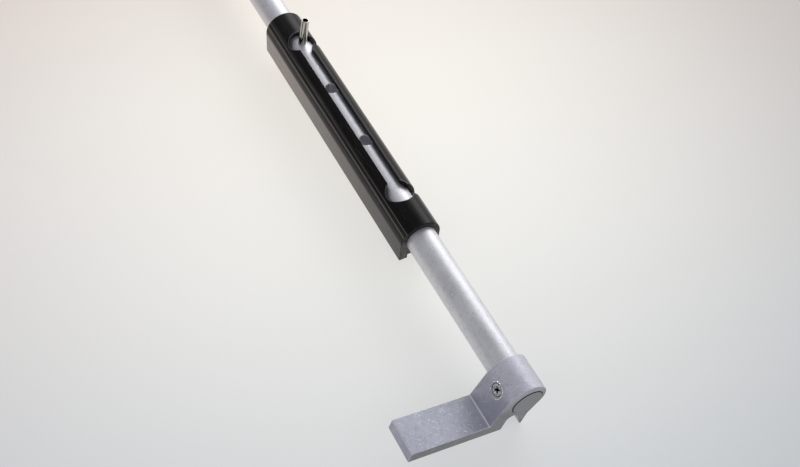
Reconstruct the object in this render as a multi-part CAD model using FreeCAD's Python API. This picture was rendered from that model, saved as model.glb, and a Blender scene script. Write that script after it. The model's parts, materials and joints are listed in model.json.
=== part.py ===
"""Turn-lock sliding rod: a slotted guide sleeve, a round rod with a cross pin, and a clamped lever foot.

Frame: +X along the rod towards the foot, +Z up, out of the sleeve's flat base.
The origin is the middle of the sleeve's base plane, in the mouth of its mounting channel. Millimetres.
"""
import FreeCAD, Part
import math
import os

V = FreeCAD.Vector
X_DIR = V(1, 0, 0)

# Rod
ROD_DIAMETER = 20.0
ROD_TURN = 6.5            # degrees: how far the cross pin leans from the slot's middle, towards +Y
ROD_EDGE = 0.6            # edge break on both rod ends
ROD_STAND = 0.4           # rod end past the foot's outer face
FOOT_REACH = 125.0        # sleeve end to the foot's outer face, rod pulled in
STOP_GAP = 8.0            # end cap to sleeve, rod pushed right out

# Guide sleeve
SLEEVE_LENGTH = 206.0
SLEEVE_WALL = 3.6         # round the bore; the flat sides run down tangent to the round
FLOOR_WALL = 2.5          # between the bore and the channel
CHANNEL_WIDTH = 16.0
CHANNEL_DEPTH = 3.5
SLEEVE_EDGE = 0.4
BORE_CLEARANCE = 0.1      # radial, rod in sleeve

# Slot and turn-lock cuts in the sleeve
SLOT_CLEARANCE = 0.07     # each side of the leaning pin, at the sleeve's outside
PORT_SWING = 24.5         # degrees: how far back the pin can lean in the round opening at each slot end
PORT_CLEARANCE = 0.57     # pin in the round opening, at that lean
PORT_INSET = 30.0         # sleeve end to the middle of a round opening
LOCK_CLEARANCE = 0.2      # pin in the cross-slot that it turns into, on its tighter side
LOCK_ANGLE = 80.0         # degrees from the top to the middle of the cross-slot's round end

# Cross pin: a slotted spring pin
PIN_DIAMETER = 5.6
PIN_WALL = 1.0
PIN_LENGTH = 30.0
PIN_STANDOUT = 20.0       # from the rod's surface to the pin's tip
PIN_SLIT = 0.6
PIN_EDGE = 0.45
PIN_OFFSET = 1.0          # how far the pin stands past the middle of the far opening
PIN_SLIT_TURN = -60.0     # degrees: where the slit faces, from +X

# Index holes in the rod, in line with the pin
INDEX_START = 47.5        # pin to the first hole
INDEX_PITCH = 51.0
INDEX_COUNT = 2
INDEX_DIAMETER = 8.8
INDEX_DEPTH = 8.0
INDEX_EDGE = 0.35         # broken edge round each index hole

# Lever foot, a slice of a profile with the rod's bore in it
FOOT_WIDTH = 23.0         # along the rod
FOOT_TILT = 13.5          # degrees: how far the flange is raised, foot clamped on the turned rod
FOOT_BORE_CLEARANCE = 0.03
HUB_WALL = 3.7            # hub's radius over the rod's
HUB_OFFSET = (-2.2, 1.2)  # middle of the hub's round from the rod's axis, across and up
SOLE_DEPTH = 24.8         # rod's axis down to the sole
FLANGE_THICKNESS = 8.0
FLANGE_REACH = 71.6       # rod's axis to the flange's free edge
FLANK_FOOT = 19.2         # rod's axis to where the flank meets the flange
CORNER_RADIUS = 0.7       # inside corner between flank and flange
FREE_RADIUS = 0.8         # corners of the flange's free edge
TOE_SIDE = 6.6            # rod's axis to the toe's outer side
TOE_LEAN = 19.5           # degrees from upright of the flat above the toe
TOE_WALL = 1.0            # thinnest wall beside the bore
TOE_TIP = 1.2             # width of the toe's tip
NOTCH_RADIUS = 3.9        # round top of the notch in the sole
NOTCH_OFFSET = 4.2        # rod's axis to the middle of the notch
NOTCH_WALL = 1.7          # bore to the notch's crown
FOOT_EDGE = 0.35

# Grub screw that clamps the foot, square to the flank and pointing at the rod's axis
SCREW_DIAMETER = 8.0
SCREW_SOCKET = 4.0        # across the flats
SCREW_SOCKET_DEPTH = 3.4
SCREW_SINK = 0.25         # below the flank
SCREW_MOUTH = 0.5         # countersink at the mouth of the screw's hole
SCREW_TIP_GAP = 0.02
SCREW_EDGE = 0.6

# Soft cap on the rod's far end
CAP_WALL = 2.0
CAP_CLEARANCE = 0.05      # radial, rod in cap
CAP_GRIP = 18.0
CAP_END = 3.0
CAP_END_GAP = 0.3
CAP_ROUND = 1.2

# Worked out from the sizes above
rod_radius = ROD_DIAMETER / 2
half_sleeve = SLEEVE_LENGTH / 2
sleeve_bore = rod_radius + BORE_CLEARANCE
sleeve_radius = sleeve_bore + SLEEVE_WALL
axis_height = sleeve_bore + FLOOR_WALL + CHANNEL_DEPTH
hub_radius = rod_radius + HUB_WALL
lean = math.radians(ROD_TURN)
pin_side = sleeve_radius * math.sin(lean) + PIN_DIAMETER / 2 * math.cos(lean)
slot_width = 2 * (pin_side + SLOT_CLEARANCE)
back = math.radians(PORT_SWING)
port_radius = sleeve_radius * math.sin(back) + PIN_DIAMETER / 2 * math.cos(back) + PORT_CLEARANCE
lock_width = PIN_DIAMETER + 2 * (PIN_OFFSET + LOCK_CLEARANCE)
port_x = half_sleeve - PORT_INSET
travel = 2 * port_x
foot_outer_x = half_sleeve + FOOT_REACH
foot_inner_x = foot_outer_x - FOOT_WIDTH
rod_near_x = foot_outer_x + ROD_STAND
pin_x = -port_x - PIN_OFFSET
cap_open_x = -half_sleeve - travel - STOP_GAP
rod_far_x = cap_open_x - CAP_GRIP
pin_tip = rod_radius + PIN_STANDOUT


def along_x(radius, x_from, x_to):
    """A cylinder on the rod's axis."""
    return Part.makeCylinder(radius, x_to - x_from, V(x_from, 0, 0), X_DIR)


def radial(radius, x, r_from, r_to):
    """A cylinder that stands on the rod's axis, pointing up."""
    return Part.makeCylinder(radius, r_to - r_from, V(x, 0, r_from), V(0, 0, 1))


def turned(shape, degrees):
    """Turned about the rod's axis from the top towards +Y."""
    shape = shape.copy()
    shape.rotate(V(0, 0, 0), X_DIR, -degrees)
    return shape


def end_edges(shape, *x_places):
    """The edges that lie wholly in a plane square to the rod."""
    def flat_at(edge, x):
        return abs(edge.BoundBox.XMin - x) < 1e-4 and abs(edge.BoundBox.XMax - x) < 1e-4
    return [e for e in shape.Edges if any(flat_at(e, x) for x in x_places)]


def guide_sleeve():
    """Arch-shaped extrusion: round over the bore, flat sides and a base on two legs."""
    round_top = along_x(sleeve_radius, -half_sleeve, half_sleeve)
    block = Part.makeBox(
        SLEEVE_LENGTH, 2 * sleeve_radius, axis_height, V(-half_sleeve, -sleeve_radius, -axis_height)
    )
    channel = Part.makeBox(
        SLEEVE_LENGTH, CHANNEL_WIDTH, CHANNEL_DEPTH, V(-half_sleeve, -CHANNEL_WIDTH / 2, -axis_height)
    )
    body = round_top.fuse(block).removeSplitter().cut(channel)
    body = body.makeChamfer(SLEEVE_EDGE, end_edges(body, -half_sleeve, half_sleeve))
    body = body.cut(along_x(sleeve_bore, -half_sleeve, half_sleeve))

    top = sleeve_radius + 1
    slot = Part.makeBox(travel, slot_width, top, V(-port_x, -slot_width / 2, 0))
    body = body.cut(slot)
    for x in (-port_x, port_x):
        body = body.cut(radial(port_radius, x, 0, top))
        body = body.cut(lock_cut(x, top))
    return body


def lock_cut(x, top):
    """The path of a cutter that follows the rod's turn from the top to the lock angle."""
    half = lock_width / 2
    inner = sleeve_bore - 1
    corners = [V(x - half, 0, inner), V(x + half, 0, inner), V(x + half, 0, top), V(x - half, 0, top)]
    section = Part.Face(Part.makePolygon(corners + corners[:1]))
    sweep = section.revolve(V(0, 0, 0), X_DIR, -LOCK_ANGLE)
    return sweep.fuse(turned(radial(half, x, inner, top), LOCK_ANGLE))


def slide_rod():
    """Solid round bar with the pin's seat and the index holes."""
    bar = turned(along_x(rod_radius, rod_far_x, rod_near_x), 180)
    bar = bar.makeChamfer(ROD_EDGE, end_edges(bar, rod_far_x, rod_near_x))
    cuts = [radial(PIN_DIAMETER / 2, pin_x, pin_tip - PIN_LENGTH, pin_tip)]
    for k in range(INDEX_COUNT):
        x = pin_x + INDEX_START + INDEX_PITCH * k
        cuts.append(radial(INDEX_DIAMETER / 2, x, rod_radius - INDEX_DEPTH, rod_radius + 1))
    for cut in cuts:
        bar = bar.cut(turned(cut, ROD_TURN))
    return bar.makeChamfer(INDEX_EDGE, index_rims(bar))


def index_rims(bar):
    """The saddle-shaped edges where the index holes break the rod's surface."""
    def is_saddle(edge):
        return edge.isClosed() and edge.Curve.TypeId == "Part::GeomBSplineCurve"
    return [e for e in bar.Edges if is_saddle(e) and e.BoundBox.XMin > pin_x + PIN_DIAMETER]


def spring_pin():
    """Rolled tube with a slit down its side and broken edges."""
    inner_end = pin_tip - PIN_LENGTH
    outside = radial(PIN_DIAMETER / 2, pin_x, inner_end, pin_tip)
    rims = [e for e in outside.Edges if abs(e.BoundBox.ZMax - e.BoundBox.ZMin) < 1e-4]
    outside = outside.makeChamfer(PIN_EDGE, rims)
    tube = outside.cut(radial(PIN_DIAMETER / 2 - PIN_WALL, pin_x, inner_end, pin_tip))
    slit = Part.makeBox(PIN_DIAMETER, PIN_SLIT, PIN_LENGTH, V(pin_x, -PIN_SLIT / 2, inner_end))
    slit.rotate(V(pin_x, 0, 0), V(0, 0, 1), PIN_SLIT_TURN)
    return turned(tube.cut(slit), ROD_TURN)


def tangent_from(point, centre, radius, side):
    """Where a line from a point touches a circle; side picks which of the two."""
    dy, dz = point[0] - centre[0], point[1] - centre[1]
    reach = math.hypot(dy, dz)
    angle = math.atan2(dz, dy) + side * math.acos(radius / reach)
    return centre[0] + radius * math.cos(angle), centre[1] + radius * math.sin(angle)


def flank_touch():
    """Where the straight flank runs into the hub's round."""
    corner = (-FLANK_FOOT, FLANGE_THICKNESS - SOLE_DEPTH)
    return tangent_from(corner, HUB_OFFSET, hub_radius, -1)


def foot_outline():
    """Wire of the foot's section, upright, with the rod's axis at its origin."""
    flange_top = -SOLE_DEPTH + FLANGE_THICKNESS
    toe_lean = math.radians(TOE_LEAN)
    bore = rod_radius + FOOT_BORE_CLEARANCE

    flank_corner = (-FLANK_FOOT, flange_top)
    flank_high = flank_touch()
    rise = math.atan2(flank_high[1] - flange_top, flank_high[0] + FLANK_FOOT)
    setback = CORNER_RADIUS / math.tan((math.pi - rise) / 2)
    corner_start = (flank_corner[0] - setback, flange_top)
    corner_end = (flank_corner[0] + setback * math.cos(rise), flange_top + setback * math.sin(rise))
    corner_centre = (corner_start[0], flange_top + CORNER_RADIUS)
    to_corner = math.atan2(flange_top - corner_centre[1], flank_corner[0] - corner_centre[0])
    corner_middle = (
        corner_centre[0] + CORNER_RADIUS * math.cos(to_corner),
        corner_centre[1] + CORNER_RADIUS * math.sin(to_corner),
    )

    # the flat above the toe keeps a thin wall beside the bore
    flat_distance = bore + TOE_WALL
    normal = (math.cos(toe_lean), -math.sin(toe_lean))
    toe_shoulder = (TOE_SIDE, (TOE_SIDE * normal[0] - flat_distance) / -normal[1])
    hub_shift = flat_distance - (HUB_OFFSET[0] * normal[0] + HUB_OFFSET[1] * normal[1])
    along = math.sqrt(hub_radius ** 2 - hub_shift ** 2)
    flat_high = (
        HUB_OFFSET[0] + hub_shift * normal[0] - along * normal[1],
        HUB_OFFSET[1] + hub_shift * normal[1] + along * normal[0],
    )

    crown = -bore - NOTCH_WALL
    notch_low = crown - NOTCH_RADIUS
    notch_left = -NOTCH_OFFSET - NOTCH_RADIUS
    notch_right = -NOTCH_OFFSET + NOTCH_RADIUS

    def at(point):
        return V(foot_inner_x, point[0], point[1])

    def line(a, b):
        return Part.LineSegment(at(a), at(b)).toShape()

    def arc(a, middle, b):
        return Part.Arc(at(a), at(middle), at(b)).toShape()

    sole = -SOLE_DEPTH
    hub_top = (HUB_OFFSET[0], HUB_OFFSET[1] + hub_radius)
    free_flat = -FLANGE_REACH + FREE_RADIUS
    free_round = -FLANGE_REACH + FREE_RADIUS * (1 - math.sqrt(0.5))
    low_round = sole + FREE_RADIUS * (1 - math.sqrt(0.5))
    high_round = flange_top - FREE_RADIUS * (1 - math.sqrt(0.5))
    return Part.Wire([
        arc((free_flat, sole), (free_round, low_round), (-FLANGE_REACH, sole + FREE_RADIUS)),
        line((-FLANGE_REACH, sole + FREE_RADIUS), (-FLANGE_REACH, flange_top - FREE_RADIUS)),
        arc((-FLANGE_REACH, flange_top - FREE_RADIUS), (free_round, high_round), (free_flat, flange_top)),
        line((free_flat, flange_top), corner_start),
        arc(corner_start, corner_middle, corner_end),
        line(corner_end, flank_high),
        arc(flank_high, hub_top, flat_high),
        line(flat_high, toe_shoulder),
        line(toe_shoulder, (TOE_SIDE, sole)),
        line((TOE_SIDE, sole), (TOE_SIDE - TOE_TIP, sole)),
        line((TOE_SIDE - TOE_TIP, sole), (notch_right, notch_low)),
        arc((notch_right, notch_low), (-NOTCH_OFFSET, crown), (notch_left, notch_low)),
        line((notch_left, notch_low), (notch_left, sole)),
        line((notch_left, sole), (free_flat, sole)),
    ])


def screw_place():
    """Middle of the foot along the rod, the rod's axis to the flank, and the screw's rise in degrees."""
    touch = flank_touch()
    normal = ((touch[0] - HUB_OFFSET[0]) / hub_radius, (touch[1] - HUB_OFFSET[1]) / hub_radius)
    reach = touch[0] * normal[0] + touch[1] * normal[1]
    rise = math.degrees(math.atan2(normal[1], -normal[0]))
    return (foot_inner_x + foot_outer_x) / 2, reach, rise


def screw_hole():
    """Hole through the flank for the grub screw, with a countersunk mouth."""
    x, reach, rise = screw_place()
    hole = Part.makeCylinder(SCREW_DIAMETER / 2, reach + hub_radius, V(x, 0, 0), V(0, -1, 0))
    mouth = Part.makeCone(
        SCREW_DIAMETER / 2, SCREW_DIAMETER / 2 + 2 * SCREW_MOUTH, 2 * SCREW_MOUTH,
        V(x, SCREW_MOUTH - reach, 0), V(0, -1, 0),
    )
    return turned(hole.fuse(mouth), rise)


def lever_foot():
    """Hub on the rod, flank and flange on one side, toe and notch in the sole."""
    body = Part.Face(foot_outline()).extrude(V(FOOT_WIDTH, 0, 0))
    body = body.makeFillet(FOOT_EDGE, end_edges(body, foot_inner_x, foot_outer_x))
    body = body.cut(along_x(rod_radius + FOOT_BORE_CLEARANCE, foot_inner_x, foot_outer_x))
    return turned(body.cut(screw_hole()), FOOT_TILT)


def foot_screw():
    """Grub screw with a hexagon socket, its tip on the rod."""
    x, reach, rise = screw_place()
    tip = rod_radius + SCREW_TIP_GAP
    head = reach - SCREW_SINK
    body = Part.makeCylinder(SCREW_DIAMETER / 2, head - tip, V(x, -tip, 0), V(0, -1, 0))
    body = body.makeChamfer(SCREW_EDGE, [e for e in body.Edges if e.BoundBox.YLength < 1e-4])
    across_corners = SCREW_SOCKET / math.cos(math.radians(30))
    corners = [
        V(
            x + across_corners / 2 * math.cos(math.radians(60 * k)),
            -head,
            across_corners / 2 * math.sin(math.radians(60 * k)),
        )
        for k in range(6)
    ]
    socket = Part.Face(Part.makePolygon(corners + corners[:1])).extrude(V(0, SCREW_SOCKET_DEPTH, 0))
    return turned(body.cut(socket), rise + FOOT_TILT)


def rod_end_cap():
    """Soft round cap over the rod's far end, free to turn on it."""
    closed_x = rod_far_x - CAP_END
    outside = along_x(rod_radius + CAP_WALL, closed_x, cap_open_x)
    outside = outside.makeFillet(CAP_ROUND, end_edges(outside, closed_x))
    return outside.cut(along_x(rod_radius + CAP_CLEARANCE, rod_far_x - CAP_END_GAP, cap_open_x))


def build():
    """Every piece in the rod's own frame, by the name of its node."""
    return {
        "guide_sleeve": guide_sleeve(),
        "slide_rod": slide_rod(),
        "spring_pin": spring_pin(),
        "lever_foot": lever_foot(),
        "foot_screw": foot_screw(),
        "rod_end_cap": rod_end_cap(),
    }


os.makedirs("parts", exist_ok=True)
for name, shape in build().items():
    shape.translate(V(0, 0, axis_height))
    if not shape.isValid() or len(shape.Solids) != 1:
        raise SystemExit(f"{name} is not one valid solid")
    shape.Solids[0].exportStep(f"parts/{name}.step")
    box = shape.BoundBox
    print(f"{name}: {box.XLength:.1f} x {box.YLength:.1f} x {box.ZLength:.1f} mm, {shape.Volume:.0f} mm3")
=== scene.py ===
"""Turn-lock sliding rod: looks. Metres; +X along the rod towards the foot, +Z out of the sleeve's base."""

import json
import math

import bmesh
import bpy
from mathutils import Matrix, Vector


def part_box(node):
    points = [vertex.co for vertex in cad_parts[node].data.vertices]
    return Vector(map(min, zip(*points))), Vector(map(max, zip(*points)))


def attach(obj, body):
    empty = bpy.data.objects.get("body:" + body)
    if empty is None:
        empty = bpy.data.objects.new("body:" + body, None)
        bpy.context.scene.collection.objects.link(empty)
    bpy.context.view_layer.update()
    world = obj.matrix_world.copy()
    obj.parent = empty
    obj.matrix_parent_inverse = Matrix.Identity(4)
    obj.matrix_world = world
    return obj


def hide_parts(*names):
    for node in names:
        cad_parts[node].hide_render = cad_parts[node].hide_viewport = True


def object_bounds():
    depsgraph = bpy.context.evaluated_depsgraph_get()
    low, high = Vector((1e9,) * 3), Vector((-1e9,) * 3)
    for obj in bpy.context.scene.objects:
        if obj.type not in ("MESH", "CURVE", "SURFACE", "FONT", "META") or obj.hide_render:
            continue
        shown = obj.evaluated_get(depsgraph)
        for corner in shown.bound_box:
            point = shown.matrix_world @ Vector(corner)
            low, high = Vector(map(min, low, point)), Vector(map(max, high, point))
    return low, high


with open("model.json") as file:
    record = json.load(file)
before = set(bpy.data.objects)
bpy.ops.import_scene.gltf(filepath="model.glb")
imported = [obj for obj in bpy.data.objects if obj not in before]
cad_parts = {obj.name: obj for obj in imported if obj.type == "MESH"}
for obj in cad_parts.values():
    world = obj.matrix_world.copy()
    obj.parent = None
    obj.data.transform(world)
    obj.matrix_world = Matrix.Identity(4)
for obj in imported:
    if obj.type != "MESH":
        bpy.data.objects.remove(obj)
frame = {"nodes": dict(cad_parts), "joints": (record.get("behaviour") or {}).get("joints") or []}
cad_low, cad_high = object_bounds()

MM = 0.001
X_DIR = Vector((1, 0, 0))


# ---------------------------------------------------------------- sizes, from the frame where it has them

sleeve_low, sleeve_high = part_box("guide_sleeve")
foot_low, foot_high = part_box("lever_foot")
rod_low, rod_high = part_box("slide_rod")
cap_low, cap_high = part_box("rod_end_cap")
pin_low, pin_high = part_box("spring_pin")
screw_low, screw_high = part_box("foot_screw")

rod_axis = Vector(next(j for j in frame["joints"] if j["name"] == "rod_turn")["pos_m"])
rod_radius = (rod_high.z - rod_low.z) / 2
cap_radius = (cap_high.z - cap_low.z) / 2
sleeve_radius = (sleeve_high.y - sleeve_low.y) / 2

# round openings in the sleeve, one each side of its middle
PORT_X = 73.0 * MM
PORT_RADIUS = 8.8 * MM

# lines along X on the foot, as (y, z) from the rod's axis in the foot's own untilted section
FOOT_TILT_DEGREES = 13.5
FOOT_TILT = math.radians(FOOT_TILT_DEGREES)
FOOT_CORNER = (-19.2 * MM, -16.8 * MM)
FOOT_FREE_EDGE = (-71.6 * MM, -16.8 * MM)
FOOT_TOE = (6.0 * MM, -24.8 * MM)
FOOT_ROUND = 0.35 * MM

# skins that masks pick out
SAWN_SKIN = 0.1 * MM
RIM_WIDTH = 0.6 * MM


def on_axis(x):
    """The point on the rod's axis at this x."""
    return Vector((x, rod_axis.y, rod_axis.z))


def standing(place, along, towards=X_DIR):
    """Matrix that puts local z along one direction, local x as near as it can to the other, at a place."""
    z = Vector(along).normalized()
    y = z.cross(towards).normalized()
    x = y.cross(z)
    return Matrix.Translation(place) @ Matrix((x, y, z)).transposed().to_4x4()


PIN_LEAN = math.radians(6.5)
PIN_LENGTH = 30.0 * MM
PIN_WALL = 1.0 * MM
PIN_SLIT = 0.6 * MM
PIN_SLIT_TURN = math.radians(-60.0)

pin_radius = (pin_high.x - pin_low.x) / 2
pin_x = (pin_high.x + pin_low.x) / 2
pin_along = Vector((0, math.sin(PIN_LEAN), math.cos(PIN_LEAN)))

SCREW_RADIUS = 4.0 * MM
SCREW_ROOT = 3.45 * MM
SCREW_PITCH = 1.25 * MM
SCREW_SOCKET = 4.0 * MM
SCREW_SOCKET_DEPTH = 3.4 * MM
SCREW_SINK = 0.25 * MM
SCREW_BEVEL = 0.7 * MM
PEEN_TURN = math.radians(45)
FLANK_RISE_DEGREES = 9.75
SCREW_RISE = math.radians(FLANK_RISE_DEGREES + FOOT_TILT_DEGREES)


def screw_frame():
    """Local z out of the flank along the screw, local x along the rod; and the screw's two ends on it."""
    outward = Vector((0, -math.cos(SCREW_RISE), math.sin(SCREW_RISE)))
    middle = (screw_low + screw_high) / 2
    reach = (middle - on_axis(middle.x)).dot(outward)
    along_y = screw_high.y - screw_low.y - 2 * SCREW_RADIUS * math.sin(SCREW_RISE)
    half = along_y / 2 / math.cos(SCREW_RISE)
    return standing(on_axis(middle.x), outward), reach - half, reach + half


# ---------------------------------------------------------------- shader helpers


class Nodes:
    """Adds and links nodes in one tree, with short calls."""

    def __init__(self, tree):
        self.tree = tree

    def add(self, kind, **settings):
        node = self.tree.nodes.new(kind)
        for key, value in settings.items():
            setattr(node, key, value)
        return node

    def link(self, source, target):
        self.tree.links.new(source, target)

    def feed(self, socket, value):
        """Sets a socket to a number, or links it when the value is another socket."""
        if isinstance(value, bpy.types.NodeSocket):
            self.link(value, socket)
        else:
            socket.default_value = value

    def math(self, operation, first, second=None):
        node = self.add("ShaderNodeMath", operation=operation)
        self.feed(node.inputs[0], first)
        if second is not None:
            self.feed(node.inputs[1], second)
        return node.outputs[0]

    def spread(self, value, low, high, to_low=0.0, to_high=1.0):
        """Map range, clamped."""
        node = self.add("ShaderNodeMapRange")
        for place, amount in enumerate((value, low, high, to_low, to_high)):
            self.feed(node.inputs[place], amount)
        return node.outputs[0]

    def stretched(self, vector, scale):
        """The coordinates times a scale for each axis."""
        node = self.add("ShaderNodeVectorMath", operation="MULTIPLY")
        self.feed(node.inputs[0], vector)
        self.feed(node.inputs[1], scale)
        return node.outputs[0]

    def noise(self, vector, scale, detail=4.0, roughness=0.55):
        node = self.add("ShaderNodeTexNoise")
        self.feed(node.inputs["Vector"], vector)
        self.feed(node.inputs["Scale"], scale)
        node.inputs["Detail"].default_value = detail
        node.inputs["Roughness"].default_value = roughness
        return node.outputs["Fac"]

    def mix(self, amount, first, second):
        node = self.add("ShaderNodeMix", data_type="RGBA")
        self.feed(node.inputs["Factor"], amount)
        self.feed(node.inputs["A"], first)
        self.feed(node.inputs["B"], second)
        return node.outputs["Result"]


def shader_group(name, inputs, outputs):
    """An empty node group with these sockets; gives its helper, its input node and its output node."""
    tree = bpy.data.node_groups.new(name, "ShaderNodeTree")
    for label, kind, value in inputs:
        socket = tree.interface.new_socket(label, in_out="INPUT", socket_type=kind)
        if value is not None:
            socket.default_value = value
    for label, kind in outputs:
        tree.interface.new_socket(label, in_out="OUTPUT", socket_type=kind)
    nodes = Nodes(tree)
    return nodes, nodes.add("NodeGroupInput").outputs, nodes.add("NodeGroupOutput").inputs


VECTOR = "NodeSocketVector"
FLOAT = "NodeSocketFloat"
SCRATCH_SWAY = 6.0 * MM


def make_drawn_lines():
    """Fine lines along X, as a die or a file leaves them."""
    nodes, inside, out = shader_group(
        "drawn_lines",
        [("Vector", VECTOR, None), ("Across", FLOAT, 900.0), ("Along", FLOAT, 6.0)],
        [("Value", FLOAT)],
    )
    scale = nodes.add("ShaderNodeCombineXYZ")
    nodes.link(inside["Along"], scale.inputs[0])
    nodes.link(inside["Across"], scale.inputs[1])
    nodes.link(inside["Across"], scale.inputs[2])
    grain = nodes.noise(nodes.stretched(inside["Vector"], scale.outputs[0]), 1.0, detail=5.0, roughness=0.6)
    nodes.link(nodes.spread(grain, 0.3, 0.7), out["Value"])
    return nodes.tree


def make_speckle():
    """Small pits and grains, as on blasted or sawn stock."""
    nodes, inside, out = shader_group(
        "speckle",
        [("Vector", VECTOR, None), ("Scale", FLOAT, 1500.0), ("Cover", FLOAT, 0.4)],
        [("Mask", FLOAT), ("Height", FLOAT)],
    )
    fine = nodes.noise(inside["Vector"], inside["Scale"], detail=3.0, roughness=0.7)
    coarse = nodes.noise(inside["Vector"], nodes.math("MULTIPLY", inside["Scale"], 0.23), detail=3.0)
    both = nodes.math("ADD", nodes.math("MULTIPLY", fine, 0.65), nodes.math("MULTIPLY", coarse, 0.35))
    edge = nodes.math("SUBTRACT", 0.72, nodes.math("MULTIPLY", inside["Cover"], 0.4))
    nodes.link(nodes.spread(both, edge, nodes.math("ADD", edge, 0.08)), out["Mask"])
    nodes.link(both, out["Height"])
    return nodes.tree


def make_scratches():
    """Sparse hair-thin marks: the peaks of a long, narrow noise, bent a little and shown in patches."""
    nodes, inside, out = shader_group(
        "scratches",
        [
            ("Vector", VECTOR, None), ("Turn", VECTOR, None),
            ("Along", FLOAT, 60.0), ("Across", FLOAT, 2200.0), ("Cover", FLOAT, 0.3),
        ],
        [("Mask", FLOAT)],
    )
    turned = nodes.add("ShaderNodeMapping")
    nodes.link(inside["Vector"], turned.inputs["Vector"])
    nodes.link(inside["Turn"], turned.inputs["Rotation"])
    drift = nodes.add("ShaderNodeTexNoise")
    nodes.link(turned.outputs[0], drift.inputs["Vector"])
    drift.inputs["Scale"].default_value = 45.0
    swayed = nodes.add("ShaderNodeVectorMath", operation="ADD")
    nodes.link(turned.outputs[0], swayed.inputs[0])
    nodes.link(nodes.stretched(drift.outputs["Color"], (SCRATCH_SWAY,) * 3), swayed.inputs[1])
    scale = nodes.add("ShaderNodeCombineXYZ")
    nodes.link(inside["Along"], scale.inputs[0])
    nodes.link(inside["Across"], scale.inputs[1])
    nodes.link(inside["Across"], scale.inputs[2])
    streaks = nodes.noise(nodes.stretched(swayed.outputs[0], scale.outputs[0]), 1.0, detail=2.0)
    thin = nodes.spread(streaks, 0.64, 0.70)
    patches = nodes.noise(inside["Vector"], nodes.math("MULTIPLY", inside["Along"], 1.7), detail=2.0)
    edge = nodes.math("SUBTRACT", 0.72, nodes.math("MULTIPLY", inside["Cover"], 0.5))
    shown = nodes.spread(patches, edge, nodes.math("ADD", edge, 0.12))
    nodes.link(nodes.math("MULTIPLY", thin, shown), out["Mask"])
    return nodes.tree


def make_line_distance():
    """Distance from a line along X through a centre."""
    nodes, inside, out = shader_group(
        "line_distance",
        [("Vector", VECTOR, None), ("Centre", VECTOR, None)],
        [("Distance", FLOAT)],
    )
    moved = nodes.add("ShaderNodeVectorMath", operation="SUBTRACT")
    nodes.link(inside["Vector"], moved.inputs[0])
    nodes.link(inside["Centre"], moved.inputs[1])
    length = nodes.add("ShaderNodeVectorMath", operation="LENGTH")
    nodes.link(nodes.stretched(moved.outputs[0], (0.0, 1.0, 1.0)), length.inputs[0])
    nodes.link(length.outputs["Value"], out["Distance"])
    return nodes.tree


def make_cut_end():
    """1 beyond a place along X, on the side that Facing (+1 or -1) names: picks out a cut end."""
    nodes, inside, out = shader_group(
        "cut_end",
        [("Vector", VECTOR, None), ("Place", FLOAT, 0.0), ("Facing", FLOAT, 1.0)],
        [("Mask", FLOAT)],
    )
    split = nodes.add("ShaderNodeSeparateXYZ")
    nodes.link(inside["Vector"], split.inputs[0])
    past = nodes.math("SUBTRACT", split.outputs["X"], inside["Place"])
    beyond = nodes.math("MULTIPLY", past, inside["Facing"])
    nodes.link(nodes.spread(beyond, 0.0, SAWN_SKIN / 2), out["Mask"])
    return nodes.tree


drawn_lines = make_drawn_lines()
speckle = make_speckle()
scratches = make_scratches()
line_distance = make_line_distance()
cut_end = make_cut_end()


def new_finish(name):
    """A Principled material; gives the material, its helper, the shader's sockets and the coordinates."""
    finish = bpy.data.materials.new(name)
    finish.use_nodes = True
    finish.node_tree.nodes.clear()
    nodes = Nodes(finish.node_tree)
    shader = nodes.add("ShaderNodeBsdfPrincipled")
    output = nodes.add("ShaderNodeOutputMaterial")
    nodes.link(shader.outputs[0], output.inputs["Surface"])
    place = nodes.add("ShaderNodeTexCoord").outputs["Object"]
    return finish, nodes, shader.inputs, place


def use(nodes, tree, place, **values):
    """One of the groups above, in a material, with its own values."""
    node = nodes.add("ShaderNodeGroup", node_tree=tree)
    nodes.link(place, node.inputs["Vector"])
    for label, value in values.items():
        nodes.feed(node.inputs[label], value)
    return node.outputs


def relief(nodes, shader, height, depth):
    """Bump of this depth in metres into the shader's normal."""
    bump = nodes.add("ShaderNodeBump")
    bump.inputs["Distance"].default_value = depth
    nodes.link(height, bump.inputs["Height"])
    nodes.link(bump.outputs[0], shader["Normal"])


# ---------------------------------------------------------------- finishes


def off_axis(nodes, place, y, z, tilt=0.0):
    """Distance from a line along X, this far from the rod's axis in a section tilted about that axis."""
    across = y * math.cos(tilt) + z * math.sin(tilt)
    upward = z * math.cos(tilt) - y * math.sin(tilt)
    centre = (0.0, rod_axis.y + across, rod_axis.z + upward)
    return use(nodes, line_distance, place, Centre=centre)["Distance"]


def opening_rims(nodes, place):
    """A hair's breadth round both round openings, where the black has rubbed off to the metal and a painted
    edge highlight lightens it further.
    """
    split = nodes.add("ShaderNodeSeparateXYZ")
    nodes.link(place, split.inputs[0])
    along = nodes.math("SUBTRACT", nodes.math("ABSOLUTE", split.outputs["X"]), PORT_X)
    spot = nodes.add("ShaderNodeCombineXYZ")
    nodes.link(along, spot.inputs[0])
    nodes.link(split.outputs["Y"], spot.inputs[1])
    reach = nodes.add("ShaderNodeVectorMath", operation="LENGTH")
    nodes.link(spot.outputs[0], reach.inputs[0])
    near = nodes.spread(reach.outputs["Value"], PORT_RADIUS + 0.4 * MM, PORT_RADIUS + 0.2 * MM)
    from_rod = off_axis(nodes, place, 0.0, 0.0)
    outer = nodes.spread(from_rod, sleeve_radius - 0.5 * MM, sleeve_radius - 0.3 * MM)
    upper = nodes.spread(split.outputs["Z"], rod_axis.z, rod_axis.z + 1.0 * MM)
    return nodes.math("MULTIPLY", nodes.math("MULTIPLY", near, outer), upper)


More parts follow.
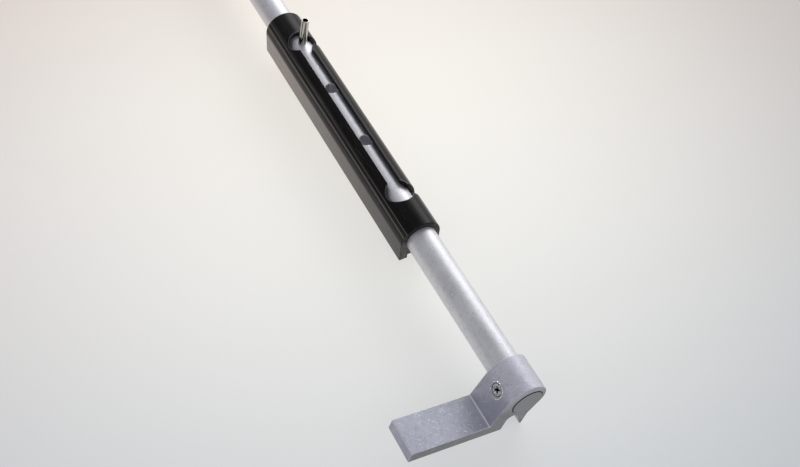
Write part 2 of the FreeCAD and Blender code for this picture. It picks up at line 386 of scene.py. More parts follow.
def shoulder(nodes, across):
    """A band on each shoulder of the sleeve's round, where the die has left its marks."""
    out = nodes.math("ABSOLUTE", across)
    inner_side = nodes.spread(out, 8.5 * MM, 10.5 * MM)
    outer_side = nodes.spread(out, 13.6 * MM, 12.8 * MM)
    return nodes.math("MULTIPLY", inner_side, outer_side)


def blackened_sleeve():
    """Satin black drawn section: die lines, light rubbing, flat sides with a painted reflection of the floor
    that fades towards the foot.
    """
    finish, nodes, shader, place = new_finish("blackened_sleeve")
    lines = use(nodes, drawn_lines, place, Across=1100.0, Along=4.0)["Value"]
    broad = use(nodes, drawn_lines, place, Across=330.0, Along=3.0)["Value"]
    rubbed = use(nodes, scratches, place, Along=9.0, Across=1500.0, Cover=0.8, Turn=(0.0, 0.0, 0.012))["Mask"]
    bloom = nodes.noise(place, 26.0, detail=5.0)
    tone = nodes.mix(bloom, (0.0014, 0.0011, 0.0013, 1), (0.0055, 0.0042, 0.0040, 1))
    tone = nodes.mix(nodes.math("MULTIPLY", broad, 0.25), tone, (0.020, 0.0165, 0.0155, 1))
    tone = nodes.mix(nodes.math("MULTIPLY", rubbed, 0.35), tone, (0.10, 0.092, 0.087, 1))
    split = nodes.add("ShaderNodeSeparateXYZ")
    nodes.link(place, split.inputs[0])
    # painted reflection: the flat sides below the rod's axis are lighter at the far end and darker towards
    # the foot
    flats = nodes.spread(split.outputs["Z"], rod_axis.z + 0.8 * MM, rod_axis.z - 0.8 * MM)
    towards_foot = nodes.spread(split.outputs["X"], sleeve_low.x, sleeve_high.x)
    dust_and_painted_reflection = nodes.mix(towards_foot, (0.335, 0.290, 0.278, 1), (0.060, 0.056, 0.051, 1))
    tone = nodes.mix(flats, tone, dust_and_painted_reflection)
    drawn = nodes.math("MULTIPLY", shoulder(nodes, split.outputs["Y"]), nodes.spread(lines, 0.56, 0.70))
    tone = nodes.mix(nodes.math("MULTIPLY", drawn, 0.8), tone, (0.15, 0.140, 0.132, 1))
    # metal showing through the black and a painted highlight on the openings' rims
    bare_rim_and_painted_highlight = nodes.math("MULTIPLY", opening_rims(nodes, place), nodes.spread(bloom, 0.36, 0.56))
    tone = nodes.mix(bare_rim_and_painted_highlight, tone, (0.20, 0.195, 0.20, 1))
    nodes.link(tone, shader["Base Color"])
    rough = nodes.math("ADD", nodes.spread(bloom, 0.3, 0.7, 0.20, 0.28), nodes.math("MULTIPLY", broad, 0.06))
    nodes.link(rough, shader["Roughness"])
    shader["Specular IOR Level"].default_value = 0.15
    relief(nodes, shader, nodes.math("ADD", lines, broad), 0.000016)
    return finish


def bar_aluminium():
    """Bright drawn bar: lengthwise grain, pits and scratches, a sawn near end with a painted dark ring of
    shade round its rim where it meets the foot.
    """
    finish, nodes, shader, place = new_finish("bar_aluminium")
    lines = use(nodes, drawn_lines, place, Across=1500.0, Along=10.0)["Value"]
    cloud = nodes.noise(nodes.stretched(place, (0.5, 1.0, 1.0)), 70.0, detail=6.0)
    spots = use(nodes, speckle, place, Scale=1500.0, Cover=0.45)
    marks = use(nodes, scratches, place, Along=70.0, Across=2600.0, Cover=0.7, Turn=(0.0, 0.0, 0.1))["Mask"]
    sawn = use(nodes, cut_end, place, Place=rod_high.x - SAWN_SKIN, Facing=1.0)["Mask"]
    tone = nodes.mix(cloud, (0.63, 0.625, 0.655, 1), (0.86, 0.855, 0.88, 1))
    tone = nodes.mix(nodes.math("MULTIPLY", spots["Mask"], 0.5), tone, (0.34, 0.34, 0.36, 1))
    tone = nodes.mix(nodes.math("MULTIPLY", marks, 0.4), tone, (0.94, 0.94, 0.94, 1))
    cut = nodes.mix(cloud, (0.30, 0.31, 0.32, 1), (0.44, 0.45, 0.46, 1))
    # painted shade: a near-black ring round the rod's end stands for the gap to the foot's bore
    rim_start = rod_radius - RIM_WIDTH
    rim = nodes.spread(off_axis(nodes, place, 0.0, 0.0), rim_start, rim_start + SAWN_SKIN)
    near_end = use(nodes, cut_end, place, Place=foot_high.x - 2 * RIM_WIDTH, Facing=1.0)["Mask"]
    painted_gap_shade = nodes.math("MULTIPLY", rim, near_end)
    tone = nodes.mix(painted_gap_shade, nodes.mix(sawn, tone, cut), (0.012, 0.011, 0.011, 1))
    nodes.link(tone, shader["Base Color"])
    shader["Metallic"].default_value = 1.0
    rough = nodes.math("ADD", nodes.spread(cloud, 0.3, 0.7, 0.46, 0.58), nodes.math("MULTIPLY", lines, 0.08))
    nodes.link(nodes.math("ADD", rough, nodes.math("MULTIPLY", sawn, 0.2)), shader["Roughness"])
    height = nodes.math("ADD", lines, nodes.math("MULTIPLY", spots["Height"], 0.8))
    relief(nodes, shader, height, 0.000012)
    return finish


def foot_ends(nodes, place, depth):
    """Both ends of the foot, to this depth."""
    near = use(nodes, cut_end, place, Place=foot_high.x - depth, Facing=1.0)["Mask"]
    far = use(nodes, cut_end, place, Place=foot_low.x + depth, Facing=-1.0)["Mask"]
    return nodes.math("MAXIMUM", near, far)


def foot_metal():
    """Sawn and tumbled aluminium: blue-grey, speckled, crossed by fine scratches, duller on the sawn ends;
    painted highlights on the inside corner, the free edge and the top round the rod, painted light on the
    flange by the corner, painted shade low on the ends and at the toe's tip.
    """
    finish, nodes, shader, place = new_finish("foot_metal")
    grain = use(nodes, speckle, place, Scale=1000.0, Cover=0.5)
    bright = use(nodes, speckle, place, Scale=560.0, Cover=0.30)
    cloud = nodes.noise(place, 90.0, detail=6.0)
    patch = nodes.noise(place, 32.0, detail=3.0)
    marks = use(nodes, scratches, place, Along=110.0, Across=2400.0, Cover=0.75, Turn=(0.0, 0.0, 0.9))["Mask"]
    cross = use(nodes, scratches, place, Along=90.0, Across=2000.0, Cover=0.7, Turn=(0.2, 0.1, 2.2))["Mask"]
    both = nodes.math("MAXIMUM", marks, cross)
    sawn = foot_ends(nodes, place, SAWN_SKIN)
    from_corner = off_axis(nodes, place, *FOOT_CORNER, FOOT_TILT)
    from_free_edge = off_axis(nodes, place, *FOOT_FREE_EDGE, FOOT_TILT)
    # painted highlights: thin bright lines along the inside corner and the flange's free edge, together with
    # worn broken edges at both ends
    painted_highlight_and_wear = nodes.math(
        "MAXIMUM",
        nodes.spread(from_corner, 0.42 * MM, 0.30 * MM),
        nodes.spread(from_free_edge, 0.55 * MM, 0.38 * MM),
    )
    broken = foot_ends(nodes, place, FOOT_ROUND)
    broken = nodes.math("MULTIPLY", broken, nodes.spread(grain["Height"], 0.42, 0.62))
    painted_highlight_and_wear = nodes.math("MAXIMUM", painted_highlight_and_wear, nodes.math("MULTIPLY", broken, 0.7))
    tone = nodes.mix(cloud, (0.31, 0.32, 0.375, 1), (0.47, 0.485, 0.56, 1))
    tone = nodes.mix(nodes.spread(patch, 0.35, 0.65, 0.0, 0.5), tone, (0.56, 0.575, 0.64, 1))
    split = nodes.add("ShaderNodeSeparateXYZ")
    nodes.link(place, split.inputs[0])
    # painted highlight: lighter towards the top round the rod, with painted glints (brighter speckles) there
    # towards the +X end
    painted_top_light = nodes.spread(split.outputs["Z"], rod_axis.z + 6.0 * MM, rod_axis.z + 12.0 * MM)
    tone = nodes.mix(nodes.math("MULTIPLY", painted_top_light, 0.6), tone, (0.74, 0.73, 0.80, 1))
    tone = nodes.mix(nodes.math("MULTIPLY", grain["Mask"], 0.3), tone, (0.20, 0.21, 0.25, 1))
    glint = nodes.math("MULTIPLY", painted_top_light, nodes.spread(split.outputs["X"], foot_low.x, foot_high.x))
    shine = nodes.math("ADD", nodes.math("MULTIPLY", glint, 0.7), 0.5)
    tone = nodes.mix(nodes.math("MULTIPLY", bright["Mask"], shine), tone, (0.95, 0.96, 1.0, 1))
    tone = nodes.mix(nodes.math("MULTIPLY", both, 0.8), tone, (0.88, 0.90, 0.94, 1))
    # painted light on the flange by the inside corner, lifting the shade that the flank casts there
    near_corner = nodes.spread(from_corner, 20.0 * MM, 1.0 * MM)
    below_flank = nodes.spread(split.outputs["Z"], rod_axis.z - 10.5 * MM, rod_axis.z - 12.5 * MM)
    flange = nodes.math("MULTIPLY", near_corner, below_flank)
    tone = nodes.mix(nodes.math("MULTIPLY", flange, 0.55), tone, (0.80, 0.82, 0.90, 1))
    tone = nodes.mix(painted_highlight_and_wear, tone, (0.96, 0.96, 0.97, 1))
    # painted shade on the sawn ends: lighter near the rod, darker down towards the sole
    painted_end_light = nodes.spread(split.outputs["Z"], rod_axis.z - 3.0 * MM, rod_axis.z + 9.0 * MM)
    cut = nodes.mix(cloud, (0.15, 0.155, 0.16, 1), (0.24, 0.245, 0.25, 1))
    cut = nodes.mix(painted_end_light, cut, nodes.mix(cloud, (0.31, 0.32, 0.33, 1), (0.47, 0.48, 0.50, 1)))
    cut = nodes.mix(nodes.math("MULTIPLY", grain["Mask"], 0.3), cut, (0.20, 0.21, 0.215, 1))
    cut = nodes.mix(nodes.math("MULTIPLY", cross, 0.5), cut, (0.75, 0.76, 0.78, 1))
    # painted shade: darker brown towards the toe's tip
    tip = nodes.spread(off_axis(nodes, place, *FOOT_TOE, FOOT_TILT), 6.0 * MM, 1.8 * MM)
    cut = nodes.mix(nodes.math("MULTIPLY", tip, 0.7), cut, (0.10, 0.078, 0.07, 1))
    nodes.link(nodes.mix(sawn, tone, cut), shader["Base Color"])
    shader["Metallic"].default_value = 0.45
    rough = nodes.spread(cloud, 0.3, 0.7, 0.46, 0.56)
    rough = nodes.math("SUBTRACT", rough, nodes.math("MULTIPLY", both, 0.1))
    nodes.link(nodes.math("SUBTRACT", rough, nodes.math("MULTIPLY", painted_highlight_and_wear, 0.32)), shader["Roughness"])
    height = nodes.math("SUBTRACT", grain["Height"], nodes.math("MULTIPLY", both, 0.35))
    relief(nodes, shader, height, 0.00004)
    return finish


def bright_steel(name, tones, rough_low, rough_high, deep=None, scuffed=0.0):
    """Bright rolled or turned steel between two tones; deep gives a mask of painted shade in a hollow."""
    finish, nodes, shader, place = new_finish(name)
    cloud = nodes.noise(place, 500.0, detail=4.0)
    marks = use(nodes, scratches, place, Along=260.0, Across=3600.0, Cover=0.8, Turn=(0.0, 1.57, 0.0))["Mask"]
    tone = nodes.mix(cloud, tones[0], tones[1])
    tone = nodes.mix(nodes.math("MULTIPLY", marks, 0.5), tone, (0.85, 0.84, 0.82, 1))
    if scuffed:
        knocks = nodes.spread(nodes.noise(place, 1500.0, detail=3.0), 0.44, 0.56)
        tone = nodes.mix(nodes.math("MULTIPLY", knocks, scuffed), tone, (0.09, 0.085, 0.09, 1))
    # painted shade: near black in the hollow that deep picks out
    if deep:
        tone = nodes.mix(deep(nodes, place), tone, (0.006, 0.005, 0.005, 1))
    nodes.link(tone, shader["Base Color"])
    shader["Metallic"].default_value = 1.0
    nodes.link(nodes.spread(cloud, 0.3, 0.7, rough_low, rough_high), shader["Roughness"])
    relief(nodes, shader, cloud, 0.000012)
    return finish


def screw_socket_shade(nodes, place):
    """Painted shade inside the screw's socket, below its peened mouth."""
    frame_at, _, head = screw_frame()
    outward = frame_at.col[2].to_3d()
    height = nodes.add("ShaderNodeVectorMath", operation="DOT_PRODUCT")
    nodes.link(place, height.inputs[0])
    height.inputs[1].default_value = outward
    mouth = frame_at.translation.dot(outward) + head
    return nodes.spread(height.outputs["Value"], mouth - 0.3 * MM, mouth - 0.7 * MM)


def pin_bore_shade(nodes, place):
    """Painted shade inside the rolled pin."""
    arm = nodes.add("ShaderNodeVectorMath", operation="SUBTRACT")
    nodes.link(place, arm.inputs[0])
    arm.inputs[1].default_value = on_axis(pin_x)
    across = nodes.add("ShaderNodeVectorMath", operation="CROSS_PRODUCT")
    nodes.link(arm.outputs[0], across.inputs[0])
    across.inputs[1].default_value = pin_along
    length = nodes.add("ShaderNodeVectorMath", operation="LENGTH")
    nodes.link(across.outputs[0], length.inputs[0])
    inner = pin_radius - PIN_WALL
    return nodes.spread(length.outputs["Value"], inner + 0.4 * MM, inner + 0.1 * MM)


def cap_plastic():
    """Soft black moulded plastic with a fine spark-eroded grain."""
    finish, nodes, shader, place = new_finish("cap_plastic")
    grain = use(nodes, speckle, place, Scale=1900.0, Cover=0.5)
    dust_and_painted_reflection = nodes.noise(place, 140.0, detail=5.0)
    tone = nodes.mix(nodes.spread(dust_and_painted_reflection, 0.45, 0.75), (0.012, 0.012, 0.013, 1), (0.035, 0.034, 0.033, 1))
    tone = nodes.mix(nodes.math("MULTIPLY", grain["Mask"], 0.25), tone, (0.05, 0.05, 0.05, 1))
    nodes.link(tone, shader["Base Color"])
    nodes.link(nodes.spread(dust_and_painted_reflection, 0.3, 0.7, 0.48, 0.62), shader["Roughness"])
    relief(nodes, shader, grain["Height"], 0.00004)
    return finish


PIN_TONES = ((0.34, 0.32, 0.30, 1), (0.62, 0.60, 0.57, 1))
SCREW_TONES = ((0.62, 0.61, 0.61, 1), (0.95, 0.94, 0.94, 1))
BURR_TONES = ((0.86, 0.86, 0.88, 1), (0.98, 0.98, 0.98, 1))

FINISHES = {
    "guide_sleeve": blackened_sleeve(),
    "slide_rod": bar_aluminium(),
    "lever_foot": foot_metal(),
    "spring_pin": bright_steel("pin_steel", PIN_TONES, 0.16, 0.26, pin_bore_shade),
    "foot_screw": bright_steel("screw_steel", SCREW_TONES, 0.20, 0.36, screw_socket_shade, 0.75),
    "rod_end_cap": cap_plastic(),
}
BURR_FINISH = bright_steel("burr_metal", BURR_TONES, 0.10, 0.22)
for node_name, finish in FINISHES.items():
    mesh = frame["nodes"][node_name].data
    mesh.materials.clear()
    mesh.materials.append(finish)


# ---------------------------------------------------------------- pieces made here


def new_piece(name, shape, finish, stands_for, slot):
    """Turns a bmesh into a finished piece that rides with the rod or the slider."""
    bmesh.ops.remove_doubles(shape, verts=shape.verts, dist=1e-7)
    bmesh.ops.recalc_face_normals(shape, faces=shape.faces)
    mesh = bpy.data.meshes.new(name)
    shape.to_mesh(mesh)
    shape.free()
    return dress(name, mesh, finish, stands_for, slot)


def dress(name, mesh, finish, stands_for, slot, smooth_angle=35.0):
    """A mesh as an object with its finish, riding on the body of the node that it belongs to."""
    piece = bpy.data.objects.new(name, mesh)
    bpy.context.collection.objects.link(piece)
    mesh.materials.clear()
    mesh.materials.append(finish)
    mesh.shade_smooth()
    mesh.set_sharp_from_angle(angle=math.radians(smooth_angle))
    body = "slider" if slot == "cap_plastic" else "rod"
    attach(piece, body)
    if stands_for:
        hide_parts(stands_for)
    return piece


def lathe(profile, place, steps, start=0.0, sweep=math.tau):
    """Turns a closed (radius, height) outline about local z; an open sweep gets end faces."""
    shape = bmesh.new()
    full = abs(sweep - math.tau) < 1e-9
    rings = []
    for k in range(steps if full else steps + 1):
        angle = start + sweep * k / steps
        ring = []
        for r, height in profile:
            ring.append(shape.verts.new(place @ Vector((r * math.cos(angle), r * math.sin(angle), height))))
        rings.append(ring)
    count = len(profile)
    for k in range(steps):
        first, second = rings[k], rings[(k + 1) % len(rings)]
        for i in range(count):
            j = (i + 1) % count
            corners = [first[i], first[j], second[j], second[i]]
            shape.faces.new(corners)
    if not full:
        shape.faces.new(rings[0])
        shape.faces.new(rings[-1])
    return shape


def rounded(corner, before, after, radius, steps=5):
    """Points of a round on an outline's corner, tangent to both sides."""
    corner, before, after = Vector(corner), Vector(before), Vector(after)
    to_before = (before - corner).normalized()
    to_after = (after - corner).normalized()
    half = to_before.angle(to_after) / 2
    centre = corner + (to_before + to_after).normalized() * (radius / math.sin(half))
    first = corner + to_before * (radius / math.tan(half)) - centre
    last = corner + to_after * (radius / math.tan(half)) - centre
    turn = first.angle_signed(last)
    points = []
    for k in range(steps + 1):
        arm = Matrix.Rotation(-turn * k / steps, 2) @ first
        points.append(tuple(centre + arm))
    return points


def soft_outline(corners):
    """An outline of (radius, height, rounding) corners as plain points."""
    points = []
    for i, (r, h, rounding) in enumerate(corners):
        before = corners[i - 1][:2]
        after = corners[(i + 1) % len(corners)][:2]
        points += rounded((r, h), before, after, rounding) if rounding else [(r, h)]
    return points


def make_spring_pin():
    """Rolled tube with a slit and rolled-in rims."""
    # the pin's end is flat out to this share of its radius
    flat_share = 0.84
    tip = (pin_high.z - rod_axis.z - pin_radius * math.sin(PIN_LEAN) * flat_share) / math.cos(PIN_LEAN)
    foot = on_axis(pin_x) + pin_along * (tip - PIN_LENGTH)
    inner = pin_radius - PIN_WALL
    corners = [
        (inner, 0.0, 0.25 * MM), (pin_radius, 0.0, 0.5 * MM),
        (pin_radius, PIN_LENGTH, 0.5 * MM), (inner, PIN_LENGTH, 0.25 * MM),
    ]
    slit = PIN_SLIT / pin_radius
    shape = lathe(
        soft_outline(corners), standing(foot, pin_along), steps=72,
        start=PIN_SLIT_TURN + slit / 2, sweep=math.tau - slit,
    )
    return new_piece("spring_pin_rolled", shape, FINISHES["spring_pin"], "spring_pin", "pin_steel")


def make_grub_screw():
    """Threaded body with a hexagon socket whose mouth has been peened almost shut."""
    place, tip, head = screw_frame()
    shape = bmesh.new()
    sides = 96
    heights = []
    h = tip
    while h < head - SCREW_BEVEL:
        heights.append(h)
        h += SCREW_PITCH / 8
    heights += [head - SCREW_BEVEL, head - SCREW_BEVEL / 2, head - 0.08 * MM, head]

    def thread(h, angle):
        """Radius of the thread at a height and an angle, drawn in at both ends."""
        wave = abs(((h / SCREW_PITCH - angle / math.tau) % 1.0) * 2 - 1)
        crest = SCREW_ROOT + (SCREW_RADIUS - SCREW_ROOT) * min(1.0, 1.35 * wave)
        taper = min(SCREW_RADIUS, SCREW_RADIUS - 0.75 * (h - (head - SCREW_BEVEL)))
        lead = SCREW_RADIUS - 0.8 * MM + (h - tip)
        return min(crest, taper, lead)

    rings = []
    for h in heights:
        ring = []
        for k in range(sides):
            angle = math.tau * k / sides
            r = thread(h, angle)
            ring.append(shape.verts.new((r * math.cos(angle), r * math.sin(angle), h)))
        rings.append(ring)

    def hexagon(angle, across):
        """Radius of a hexagon at an angle."""
        step = math.tau / 6
        return across / 2 / math.cos((angle + step / 2) % step - step / 2)

    floor_height = head - SCREW_SOCKET_DEPTH
    # rings from the face into the socket: width across flats, height, dents, how far it is peened in
    for across, height, dent, peened in (
        (SCREW_SOCKET + 2.4 * MM, head + 0.02 * MM, 0.08 * MM, 0.0),
        (SCREW_SOCKET + 0.9 * MM, head - 0.02 * MM, 0.14 * MM, 0.35),
        (SCREW_SOCKET, head - 0.20 * MM, 0.0, 0.55),
        (SCREW_SOCKET, head - 0.70 * MM, 0.0, 0.0),
        (SCREW_SOCKET, floor_height, 0.0, 0.0),
        (0.2 * MM, floor_height - 0.5 * MM, 0.0, 0.0),
    ):
        ring = []
        for k in range(sides):
            angle = math.tau * k / sides
            knock = dent * math.sin(7 * angle + 1.3) * math.sin(3 * angle)
            closed_in = peened * math.sin(2 * (angle - PEEN_TURN)) ** 2
            r = hexagon(angle, across) * (1 - closed_in) + knock
            ring.append(shape.verts.new((r * math.cos(angle), r * math.sin(angle), height - abs(knock))))
        rings.append(ring)
    for first, second in zip(rings, rings[1:]):
        for k in range(sides):
            j = (k + 1) % sides
            shape.faces.new((first[k], first[j], second[j], second[k]))
    shape.faces.new(rings[-1])
    shape.faces.new(rings[0])
    shape.transform(place)
    return new_piece("grub_screw", shape, FINISHES["foot_screw"], "foot_screw", "screw_steel")


BURR_RADIUS = 4.75 * MM
BURR_SIZE = 0.46 * MM
BURR_HEAVY_SIDE = math.radians(-50)


def make_burr():
    """Ragged lip of raised metal round the screw's mouth."""
    place, _, head = screw_frame()
    shape = bmesh.new()
    rounds, sides = 120, 8
    rings = []
    for k in range(rounds):
        angle = math.tau * k / rounds
        ragged = 0.5 * math.sin(5 * angle + 0.7) + 0.3 * math.sin(11 * angle + 2.0)
        ragged += 0.2 * math.sin(23 * angle)
        heavy = max(0.0, math.cos(angle - BURR_HEAVY_SIDE)) ** 6
        size = BURR_SIZE * (0.62 + 0.34 * ragged + 0.9 * heavy)
        middle = BURR_RADIUS + 0.15 * MM * math.sin(3 * angle + 1.0) + 0.7 * MM * heavy
        ring = []
        for i in range(sides):
            roll = math.tau * i / sides
            r = middle + size * math.cos(roll)
            h = head + SCREW_SINK + 0.9 * size * math.sin(roll)
            ring.append(shape.verts.new((r * math.cos(angle), r * math.sin(angle), h)))
        rings.append(ring)
    for k in range(rounds):
        first, second = rings[k], rings[(k + 1) % rounds]
        for i in range(sides):
            j = (i + 1) % sides
            shape.faces.new((first[i], first[j], second[j], second[i]))
    shape.transform(place)
    return new_piece("screw_mouth_burr", shape, BURR_FINISH, None, "foot_steel")


CAP_WALL = 2.0 * MM
CAP_END = 3.0 * MM
RIB_COUNT = 20
RIB_HEIGHT = 0.5 * MM
SMALLEST = 0.05 * MM


def make_cap_cup():
    """Moulded cup with a lip at its mouth, a rounded end and a shallow dish in it."""
    length = cap_high.x - cap_low.x
    bore = cap_radius - CAP_WALL
    skin = cap_radius - RIB_HEIGHT
    floor = length - CAP_END + 0.3 * MM
    corners = [
        (bore, 0.0, 0.3 * MM), (cap_radius, 0.0, 0.5 * MM), (cap_radius, 2.2 * MM, 0.5 * MM),
        (skin, 2.9 * MM, 0.3 * MM), (skin, length, 1.6 * MM), (skin - 3.4 * MM, length, 0.3 * MM),
        (skin - 3.9 * MM, length - 0.5 * MM, 0.2 * MM), (SMALLEST, length - 0.5 * MM, 0.0),
        (SMALLEST, floor, 0.0), (bore, floor, 0.3 * MM),
    ]
    place = standing(on_axis(cap_high.x), -X_DIR, Vector((0, 0, 1)))
    shape = lathe(soft_outline(corners), place, steps=96)
    return new_piece("rod_end_cup", shape, FINISHES["rod_end_cap"], "rod_end_cap", "cap_plastic")


def socket_id(tree, label):
    """The identifier of a modifier input."""
    return next(s.identifier for s in tree.interface.items_tree if s.name == label and s.in_out == "INPUT")


def rib_tree():
    """Grip ribs set evenly round an axis along X: rounded bars on a circle."""
    tree = bpy.data.node_groups.new("cap_ribs", "GeometryNodeTree")
    face = tree.interface
    for label, kind in (
        ("Count", "NodeSocketInt"), ("Ring Radius", FLOAT), ("Rib Length", FLOAT),
        ("Rib Radius", FLOAT), ("Middle", VECTOR), ("Finish", "NodeSocketMaterial"),
    ):
        face.new_socket(label, in_out="INPUT", socket_type=kind)
    face.new_socket("Geometry", in_out="OUTPUT", socket_type="NodeSocketGeometry")
    nodes = Nodes(tree)
    inside = nodes.add("NodeGroupInput").outputs
    out = nodes.add("NodeGroupOutput").inputs
    ring = nodes.add("GeometryNodeMeshCircle")
    nodes.link(inside["Count"], ring.inputs["Vertices"])
    nodes.link(inside["Ring Radius"], ring.inputs["Radius"])
    rib = nodes.add("GeometryNodeMeshUVSphere")
    rib.inputs["Segments"].default_value = 12
    rib.inputs["Rings"].default_value = 8
    nodes.link(inside["Rib Radius"], rib.inputs["Radius"])
    # the two halves of the ball move apart along local z and make a round-ended bar
    split = nodes.add("ShaderNodeSeparateXYZ")
    nodes.link(nodes.add("GeometryNodeInputPosition").outputs[0], split.inputs[0])
    side = nodes.math("SIGN", nodes.math("ADD", split.outputs["Z"], 1e-7))
    straight = nodes.math("SUBTRACT", inside["Rib Length"], nodes.math("MULTIPLY", inside["Rib Radius"], 2.0))
    shift = nodes.add("ShaderNodeCombineXYZ")
    nodes.link(nodes.math("MULTIPLY", side, nodes.math("MULTIPLY", straight, 0.5)), shift.inputs[2])
    bar = nodes.add("GeometryNodeSetPosition")
    nodes.link(rib.outputs["Mesh"], bar.inputs["Geometry"])
    nodes.link(shift.outputs[0], bar.inputs["Offset"])
    spread_out = nodes.add("GeometryNodeInstanceOnPoints")
    nodes.link(ring.outputs["Mesh"], spread_out.inputs["Points"])
    nodes.link(bar.outputs["Geometry"], spread_out.inputs["Instance"])
    # the ring lies about local z; turn z to X and move it to its place
    laid = nodes.add("GeometryNodeTransform")
    nodes.link(spread_out.outputs["Instances"], laid.inputs["Geometry"])
    nodes.link(inside["Middle"], laid.inputs["Translation"])
    laid.inputs["Rotation"].default_value = (0.0, math.pi / 2, 0.0)
    real = nodes.add("GeometryNodeRealizeInstances")
    nodes.link(laid.outputs["Geometry"], real.inputs["Geometry"])
    dressed = nodes.add("GeometryNodeSetMaterial")
    nodes.link(real.outputs["Geometry"], dressed.inputs["Geometry"])
    nodes.link(inside["Finish"], dressed.inputs["Material"])
    nodes.link(dressed.outputs["Geometry"], out["Geometry"])
    return tree


def grown(tree, **values):
    """Runs a geometry tree once with these inputs and gives the plain mesh it makes."""
    holder = bpy.data.objects.new(tree.name, bpy.data.meshes.new(tree.name))
    bpy.context.collection.objects.link(holder)
    modifier = holder.modifiers.new("grow", "NODES")
    modifier.node_group = tree
    for label, value in values.items():
        modifier[socket_id(tree, label.replace("_", " "))] = value
    bpy.context.view_layer.update()
    depsgraph = bpy.context.evaluated_depsgraph_get()
    mesh = bpy.data.meshes.new_from_object(holder.evaluated_get(depsgraph))
    holder.modifiers.clear()
    bpy.data.objects.remove(holder)
    return mesh


def make_cap_ribs():
    """Grip ribs between the cup's lip and its rounded end."""
    rib_radius = 1.1 * MM
    clear_mouth, clear_end = 3.4 * MM, 2.2 * MM
    middle_x = (cap_low.x + clear_end + cap_high.x - clear_mouth) / 2
    mesh = grown(
        rib_tree(),
        Count=RIB_COUNT,
        Ring_Radius=cap_radius - rib_radius,
        Rib_Length=cap_high.x - clear_mouth - cap_low.x - clear_end,
        Rib_Radius=rib_radius,
        Middle=on_axis(middle_x),
        Finish=FINISHES["rod_end_cap"],
    )
    return dress("rod_end_ribs", mesh, FINISHES["rod_end_cap"], None, "cap_plastic", 60.0)


make_spring_pin()
make_grub_screw()
make_burr()
make_cap_cup()
make_cap_ribs()


# ---------------------------------------------------------------- floor, light and camera

FLOOR_DROP = 0.2 * MM
FLOOR_SIZE = 6.0
FLOOR_MIDDLE = (0.0, 0.025, 0.0)
FADE_REACH = 0.5
# painted pool of light on the floor: INNER_TONE at FLOOR_MIDDLE, fading to OUTER_TONE over FADE_REACH
INNER_TONE = (1.0, 0.976, 0.918, 1)
OUTER_TONE = (0.569, 0.536, 0.534, 1)
FAR_TONE = (0.50, 0.48, 0.475, 1)
# painted warm and cool light: change of tone for each metre along X and along Y, near the object
TINTS = (("X", (-0.237, -0.052, 0.071)), ("Y", (-0.028, -0.065, -0.099)))
TINT_FULL, TINT_GONE = 0.38, 0.75
# share and strength of the floor's emission: painted light that weakens the shadows on it
GLOW_SHARE, GLOW_STRENGTH = 0.55, 1.15


def make_floor():
    """Pale seamless floor under the object's lowest point, with a painted pool of light: brighter near the
    object, greyer away from it, partly emissive so shadows on it are weak; not seen from below.
    """
    half = FLOOR_SIZE / 2
    z = cad_low.z - FLOOR_DROP
    corners = [(-half, -half, z), (half, -half, z), (half, half, z), (-half, half, z)]
    mesh = bpy.data.meshes.new("floor")
    mesh.from_pydata(corners, [], [(0, 1, 2, 3)])
    floor = bpy.data.objects.new("floor", mesh)
    bpy.context.collection.objects.link(floor)

    paper = bpy.data.materials.new("floor_paper")
    paper.use_nodes = True
    paper.node_tree.nodes.clear()
    nodes = Nodes(paper.node_tree)
    place = nodes.add("ShaderNodeTexCoord").outputs["Object"]
    away = nodes.add("ShaderNodeVectorMath", operation="DISTANCE")
    nodes.link(nodes.stretched(place, (1.0, 1.0, 0.0)), away.inputs[0])
    away.inputs[1].default_value = FLOOR_MIDDLE
    fade = nodes.add("ShaderNodeMapRange", interpolation_type="SMOOTHSTEP")
    nodes.link(away.outputs["Value"], fade.inputs[0])
    fade.inputs[1].default_value = 0.0
    fade.inputs[2].default_value = FADE_REACH
    tone = nodes.mix(fade.outputs[0], INNER_TONE, OUTER_TONE)
    split = nodes.add("ShaderNodeSeparateXYZ")
    nodes.link(place, split.inputs[0])
    level = nodes.spread(away.outputs["Value"], TINT_GONE, TINT_FULL)
    for axis, slope in TINTS:
        near = nodes.math("MULTIPLY", nodes.spread(split.outputs[axis], -0.3, 0.35, -0.3, 0.35), level)
        lean = nodes.add("ShaderNodeVectorMath", operation="MULTIPLY_ADD")
        nodes.link(near, lean.inputs[0])
        lean.inputs[1].default_value = slope
        nodes.link(tone, lean.inputs[2])
        tone = lean.outputs[0]
    matt = nodes.add("ShaderNodeBsdfDiffuse")
    nodes.link(tone, matt.inputs["Color"])
    glow = nodes.add("ShaderNodeEmission")
    nodes.link(tone, glow.inputs["Color"])
    glow.inputs["Strength"].default_value = GLOW_STRENGTH
    blend = nodes.add("ShaderNodeMixShader")
    blend.inputs["Fac"].default_value = GLOW_SHARE
    nodes.link(matt.outputs[0], blend.inputs[1])
    nodes.link(glow.outputs[0], blend.inputs[2])
    one_sided = nodes.add("ShaderNodeMixShader")
    nodes.link(nodes.add("ShaderNodeNewGeometry").outputs["Backfacing"], one_sided.inputs["Fac"])
    nodes.link(blend.outputs[0], one_sided.inputs[1])
    nodes.link(nodes.add("ShaderNodeBsdfTransparent").outputs[0], one_sided.inputs[2])
    output = nodes.add("ShaderNodeOutputMaterial")
    nodes.link(one_sided.outputs[0], output.inputs["Surface"])
    mesh.materials.append(paper)


LIGHT_AIM = Vector((0.06, 0, 0))


def area_light(name, towards, distance, width, height, power, colour):
    """A soft rectangle of light, looking at the sleeve."""
    light = bpy.data.lights.new(name, "AREA")
    light.shape = "RECTANGLE"
    light.size = width
    light.size_y = height
    light.energy = power
    light.color = colour
    lamp = bpy.data.objects.new(name, light)
    towards = Vector(towards).normalized()
    lamp.rotation_mode = "QUATERNION"
    lamp.location = LIGHT_AIM + towards * distance
    lamp.rotation_quaternion = (-towards).to_track_quat("-Z", "Y")
    bpy.context.collection.objects.link(lamp)


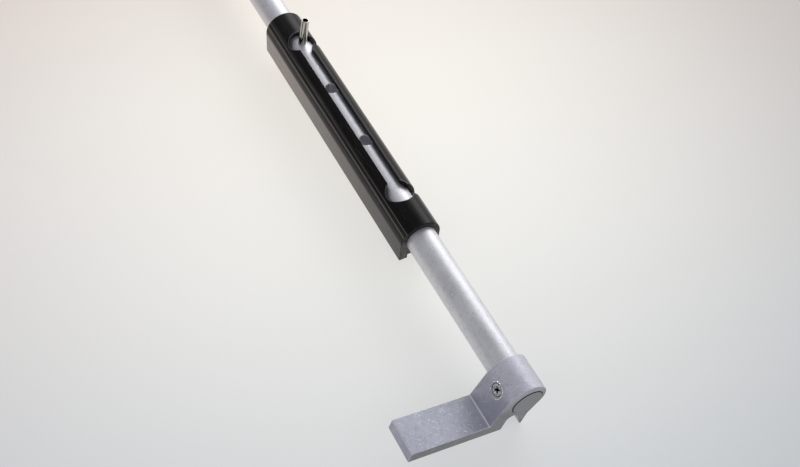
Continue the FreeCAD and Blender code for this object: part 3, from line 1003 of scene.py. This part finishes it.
def make_sky():
    """Room light, dimmer overhead and on the -Y side; seen directly it is the far floor's tone."""
    world = bpy.data.worlds.new("room")
    bpy.context.scene.world = world
    world.use_nodes = True
    world.node_tree.nodes.clear()
    nodes = Nodes(world.node_tree)
    split = nodes.add("ShaderNodeSeparateXYZ")
    nodes.link(nodes.add("ShaderNodeTexCoord").outputs["Generated"], split.inputs[0])
    rise = nodes.spread(split.outputs["Z"], 0.70, 0.88)
    lit_side = nodes.mix(rise, (0.84, 0.84, 0.85, 1), (0.24, 0.245, 0.275, 1))
    tone = nodes.mix(nodes.spread(split.outputs["Y"], -0.6, 0.05), (0.26, 0.265, 0.285, 1), lit_side)
    seen = nodes.add("ShaderNodeLightPath").outputs["Is Camera Ray"]
    tone = nodes.mix(seen, tone, FAR_TONE)
    background = nodes.add("ShaderNodeBackground")
    nodes.link(tone, background.inputs["Color"])
    background.inputs["Strength"].default_value = 1.0
    output = nodes.add("ShaderNodeOutputWorld")
    nodes.link(background.outputs[0], output.inputs["Surface"])


CAMERA_PLACE = (0.4185, -0.2264, 0.5325)
CAMERA_RIGHT = Vector((0.4663, 0.8813, 0.0766))
CAMERA_UP = Vector((-0.7291, 0.3339, 0.5974))
CAMERA_LENS = 47.07
SENSOR_WIDTH = 36.0


def make_camera():
    """The scene's camera, its three directions squared up."""
    data = bpy.data.cameras.new("camera")
    data.lens = CAMERA_LENS
    data.sensor_width = SENSOR_WIDTH
    camera = bpy.data.objects.new("camera", data)
    bpy.context.collection.objects.link(camera)
    back = CAMERA_RIGHT.cross(CAMERA_UP).normalized()
    right = CAMERA_UP.cross(back).normalized()
    up = back.cross(right)
    camera.matrix_world = Matrix.Translation(CAMERA_PLACE) @ Matrix((right, up, back)).transposed().to_4x4()
    bpy.context.scene.camera = camera


make_floor()
make_sky()
area_light("window", (-0.62, 0.66, 0.48), 1.3, 1.1, 0.6, 6.0, (0.95, 0.97, 1.0))
area_light("fill", (0.2, -0.8, 0.6), 1.6, 1.2, 1.0, 3.0, (0.93, 0.96, 1.0))
make_camera()
bpy.context.scene.view_settings.view_transform = "Standard"
